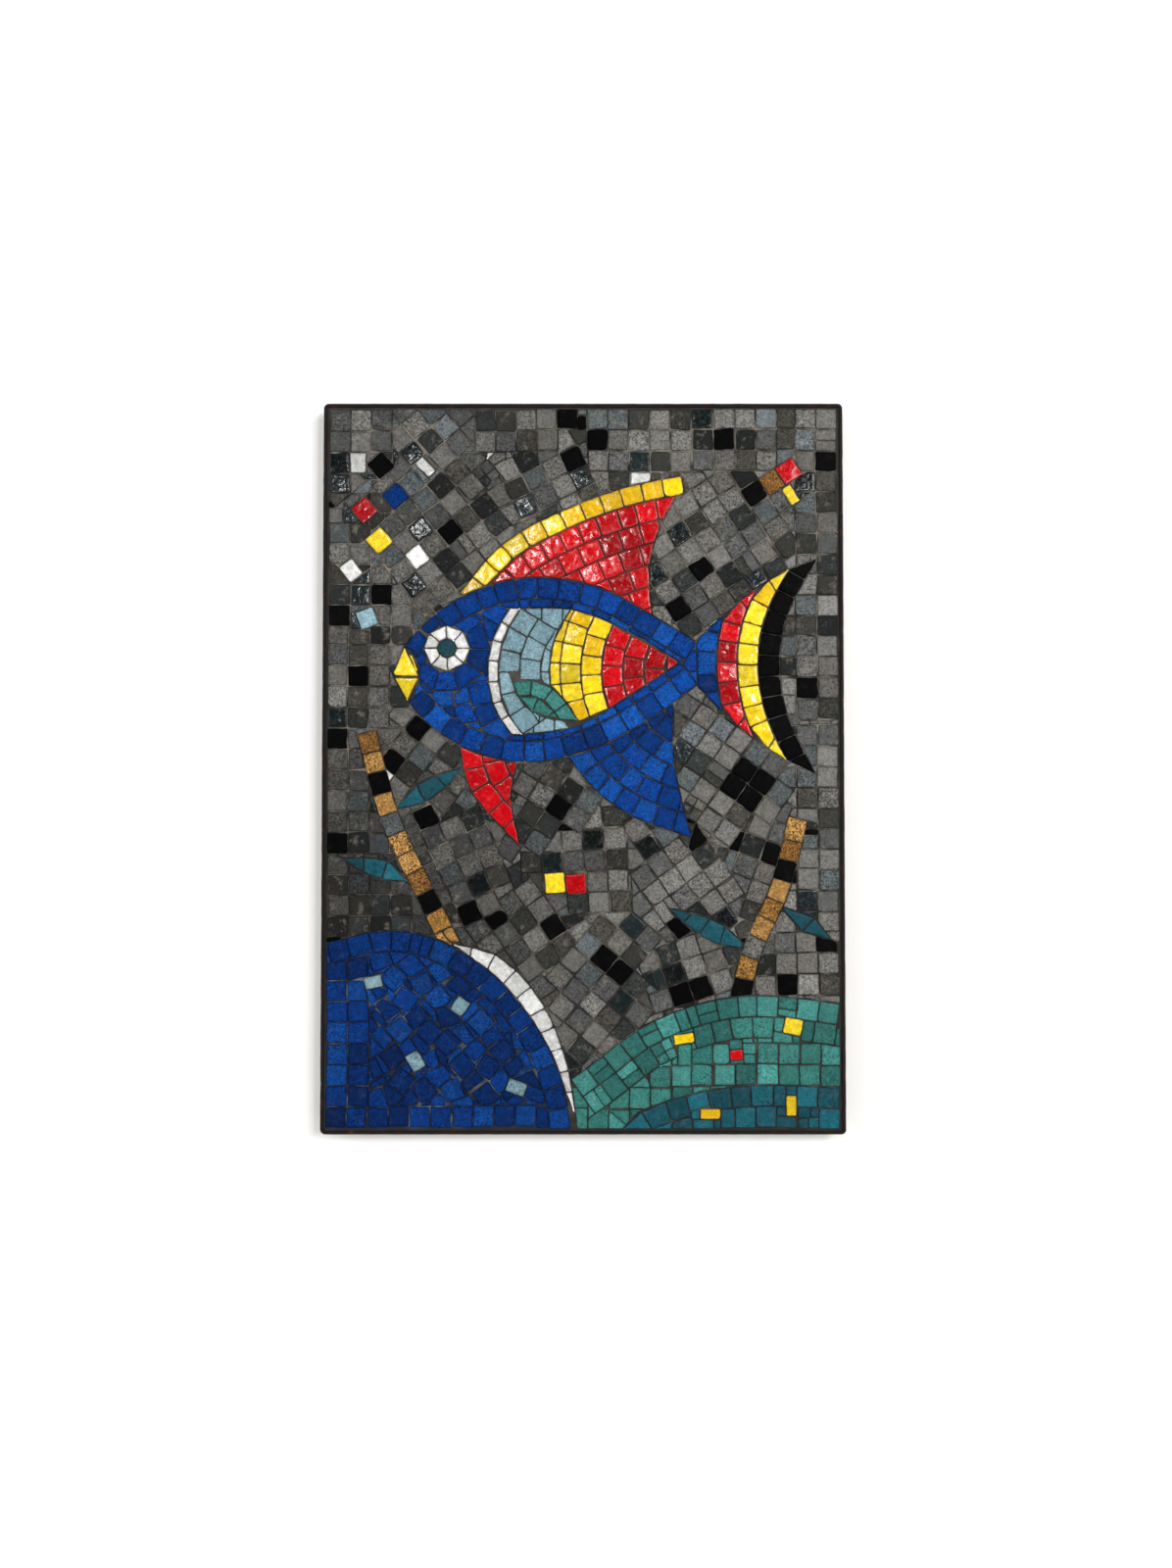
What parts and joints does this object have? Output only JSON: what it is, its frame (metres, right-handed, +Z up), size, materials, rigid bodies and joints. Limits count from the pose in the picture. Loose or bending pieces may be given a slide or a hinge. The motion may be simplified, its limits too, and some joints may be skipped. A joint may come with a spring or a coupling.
{
  "type": "mosaic panel",
  "caption": "Upright wall panel of glass tesserae laid in mortar inside a thin rusted steel band, with a fish over a rocky bed and reeds.",
  "frame": {"origin": "middle of the panel's flat back face, where it meets the wall", "axes": "+Z up, the picture faces -Y, +X to the right as the picture is looked at"},
  "size_m": [0.52, 0.022, 0.728],
  "materials": {
    "rusted_steel": "matte",
    "mortar": "matte",
    "slate_grey": "satin",
    "cobalt_blue": "satin",
    "sea_green": "satin",
    "deep_teal": "satin",
    "pale_blue": "satin",
    "signal_red": "gloss",
    "sun_yellow": "gloss",
    "ochre": "satin",
    "white": "satin",
    "black": "gloss"
  },
  "bodies": {
    "root": {"anal_fin": "cobalt_blue", "blue_rock": "cobalt_blue", "blue_rock_chip_1": "pale_blue", "blue_rock_chip_2": "pale_blue", "blue_rock_chip_3": "pale_blue", "blue_rock_chip_4": "pale_blue", "bubble_1": "pale_blue", "bubble_2": "white", "bubble_3": "sun_yellow", "bubble_4": "signal_red", "bubble_5": "cobalt_blue", "bubble_6": "black", "bubble_7": "white", "dorsal_fin": "signal_red", "dorsal_spine_row": "sun_yellow", "edge_band": "rusted_steel", "eye_pupil": "deep_teal", "eye_white": "white", "fish_body": "cobalt_blue", "flank_pale": "pale_blue", "flank_red": "signal_red", "flank_yellow": "sun_yellow", "gill_row": "white", "green_rock": "sea_green", "green_rock_chip_1": "sun_yellow", "green_rock_chip_2": "sun_yellow", "green_rock_chip_3": "signal_red", "left_reed": "ochre", "left_reed_high_leaf": "deep_teal", "left_reed_low_leaf": "deep_teal", "lower_lip": "sun_yellow", "middle_red": "signal_red", "middle_yellow": "sun_yellow", "mortar_bed": "mortar", "pectoral_fin": "sea_green", "pelvic_fin": "signal_red", "right_reed": "ochre", "right_reed_high_leaf": "deep_teal", "right_reed_low_leaf": "deep_teal", "slate_ground": "slate_grey", "tail_edge_row": "black", "tail_red_row": "signal_red", "tail_root": "cobalt_blue", "tail_yellow_row": "sun_yellow", "teal_rock": "deep_teal", "teal_rock_chip_1": "sun_yellow", "teal_rock_chip_2": "sun_yellow", "top_ochre": "ochre", "top_red": "signal_red", "top_yellow": "sun_yellow", "upper_lip": "sun_yellow", "white_crest": "white"}
  },
  "joints": []
}
